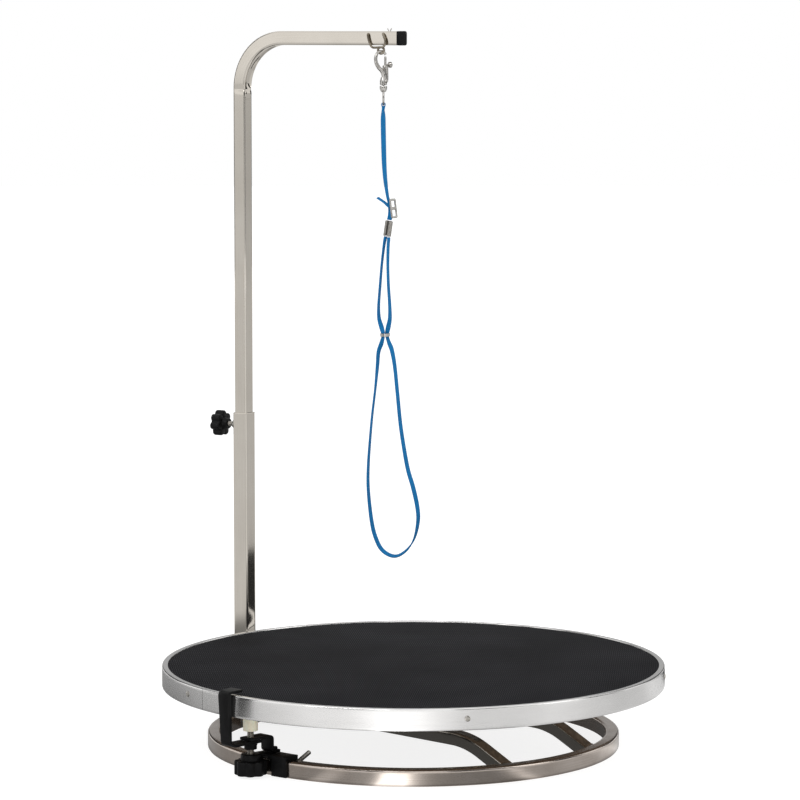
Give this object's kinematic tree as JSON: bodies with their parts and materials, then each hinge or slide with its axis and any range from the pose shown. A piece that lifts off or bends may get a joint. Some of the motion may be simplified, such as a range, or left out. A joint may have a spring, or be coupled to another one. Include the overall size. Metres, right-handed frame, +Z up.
{
  "type": "round grooming table",
  "caption": "Low round turntable with a rubber mat on a ring base, a top lock, and a bent square-tube arm of adjustable height that holds a webbing noose on a swivel snap.",
  "frame": {"origin": "on the floor under the turning top's axis", "axes": "+Z up; -Y towards the picture's camera; the arm's post stands at the back left (-X, +Y) and the top lock at the front left (-X, -Y)"},
  "size_m": [0.6, 0.6, 0.8536],
  "materials": {
    "polished_steel": "polished",
    "brushed_aluminium": "brushed",
    "chrome": "polished",
    "black_steel": "powder coat, fine texture",
    "black_plastic": "moulded, satin",
    "black_rubber": "matt, fine ribbed texture",
    "board_wood": "bare particle board",
    "white_nylon": "satin",
    "blue_webbing": "woven"
  },
  "bodies": {
    "base": {"base_ring": "polished_steel", "rail_left": "polished_steel", "rail_right": "polished_steel", "cross_tube_front": "polished_steel", "cross_tube_back": "polished_steel", "bearing_lower": "polished_steel", "bearing_bolt_a": "chrome", "bearing_bolt_b": "chrome", "bearing_bolt_c": "chrome", "bearing_bolt_d": "chrome", "lock_hook": "black_steel", "lock_nut": "black_steel", "lock_plate": "black_steel", "lock_plate_bolt": "black_steel", "lock_saddle": "black_steel", "arm_bracket": "black_steel", "bracket_bolt_left": "chrome", "bracket_bolt_right": "chrome"},
    "top": {"bearing_upper": "polished_steel", "top_bolt_a": "chrome", "top_bolt_b": "chrome", "top_bolt_c": "chrome", "top_bolt_d": "chrome", "table_board": "board_wood", "rubber_mat": "black_rubber", "rim_trim": "brushed_aluminium", "rim_screw_1": "chrome", "rim_screw_2": "chrome", "rim_screw_3": "chrome", "rim_screw_4": "chrome", "rim_screw_5": "chrome"},
    "ball_cage": {"ball_cage": "chrome"},
    "lock_tip": {"lock_tip": "white_nylon"},
    "lock_screw": {"lock_screw": "chrome", "lock_knob": "black_plastic"},
    "clamp_pad": {"clamp_pad": "chrome"},
    "clamp_stud": {"clamp_stud": "chrome"},
    "post": {"post_sleeve": "polished_steel", "sleeve_nut": "chrome"},
    "socket_pad": {"socket_pad": "chrome"},
    "socket_knob": {"socket_knob": "black_plastic"},
    "arm_pad": {"arm_pad": "chrome"},
    "arm_knob": {"arm_screw": "chrome", "arm_knob": "black_plastic"},
    "arm": {"upper_arm": "polished_steel", "end_cap": "black_rubber", "split_pin": "chrome", "wire_hanger": "chrome"},
    "snap": {"snap_body": "chrome"},
    "snap_bolt": {"snap_bolt": "chrome"},
    "noose": {"swivel_ring": "chrome", "noose_lead": "blue_webbing", "noose_tail": "blue_webbing", "noose_loop": "blue_webbing", "noose_slide": "chrome", "noose_crimp": "chrome", "noose_keeper": "chrome"}
  },
  "joints": [
    {"name": "table_spin", "type": "hinge", "parent": "base", "child": "top", "pos_m": [0, 0, 0], "axis": [0, 0, 1], "continuous": true},
    {"name": "ball_cage_spin", "type": "hinge", "parent": "base", "child": "ball_cage", "pos_m": [0, 0, 0], "axis": [0, 0, 1], "continuous": true},
    {"name": "lock_tip_rise", "type": "slide", "parent": "base", "child": "lock_tip", "axis": [0, 0, 1], "range_m": [-0.00236, 0.00197]},
    {"name": "lock_screw_turn", "type": "hinge", "parent": "lock_tip", "child": "lock_screw", "pos_m": [-0.18715, -0.18846, 0.04], "axis": [0, 0, 1], "range_deg": [-680, 570]},
    {"name": "clamp_pad_slide", "type": "slide", "parent": "base", "child": "clamp_pad", "axis": [0.5678, 0.7426, 0.3551], "range_m": [0, 0.0032]},
    {"name": "clamp_stud_turn", "type": "hinge", "parent": "clamp_pad", "child": "clamp_stud", "pos_m": [-0.13757, -0.17994, 0.012], "axis": [0.5678, 0.7426, 0.3551], "range_deg": [0, 1441]},
    {"name": "post_lift", "type": "slide", "parent": "base", "child": "post", "axis": [0, 0, 1], "range_m": [0, 0.05]},
    {"name": "socket_pad_slide", "type": "slide", "parent": "base", "child": "socket_pad", "axis": [-0.8526, 0.5225, 0], "range_m": [0, 0.003]},
    {"name": "socket_knob_turn", "type": "hinge", "parent": "socket_pad", "child": "socket_knob", "pos_m": [-0.2115, 0.2335, 0.035], "axis": [-0.8526, 0.5225, 0], "range_deg": [0, 1081]},
    {"name": "arm_pad_slide", "type": "slide", "parent": "post", "child": "arm_pad", "axis": [-0.8526, 0.5225, 0], "range_m": [0, 0.003]},
    {"name": "arm_knob_turn", "type": "hinge", "parent": "arm_pad", "child": "arm_knob", "pos_m": [-0.2115, 0.2335, 0.3595], "axis": [-0.8526, 0.5225, 0], "range_deg": [0, 1081]},
    {"name": "arm_height", "type": "slide", "parent": "post", "child": "arm", "axis": [0, 0, 1], "range_m": [-0.1, 0.05]},
    {"name": "snap_swing", "type": "hinge", "parent": "arm", "child": "snap", "pos_m": [-0.03888, 0.11576, 0.823], "axis": [0.8526, -0.5225, 0], "range_deg": [-16, 16]},
    {"name": "snap_bolt_pull", "type": "slide", "parent": "snap", "child": "snap_bolt", "axis": [0, 0, -1], "range_m": [0, 0.008], "stiffness_N_per_m": 120, "springref_m": -0.004},
    {"name": "noose_swivel", "type": "hinge", "parent": "snap", "child": "noose", "pos_m": [-0.03602, 0.11741, 0.823], "axis": [0, 0, 1], "continuous": true}
  ],
  "couplings": [
    {"joint": "ball_cage_spin", "follows": "table_spin", "ratio": 0.5},
    {"joint": "lock_screw_turn", "follows": "lock_tip_rise", "rad_per_m": 5026.5},
    {"joint": "clamp_stud_turn", "follows": "clamp_pad_slide", "rad_per_m": 7854},
    {"joint": "socket_knob_turn", "follows": "socket_pad_slide", "rad_per_m": 6283.2},
    {"joint": "arm_knob_turn", "follows": "arm_pad_slide", "rad_per_m": 6283.2}
  ]
}
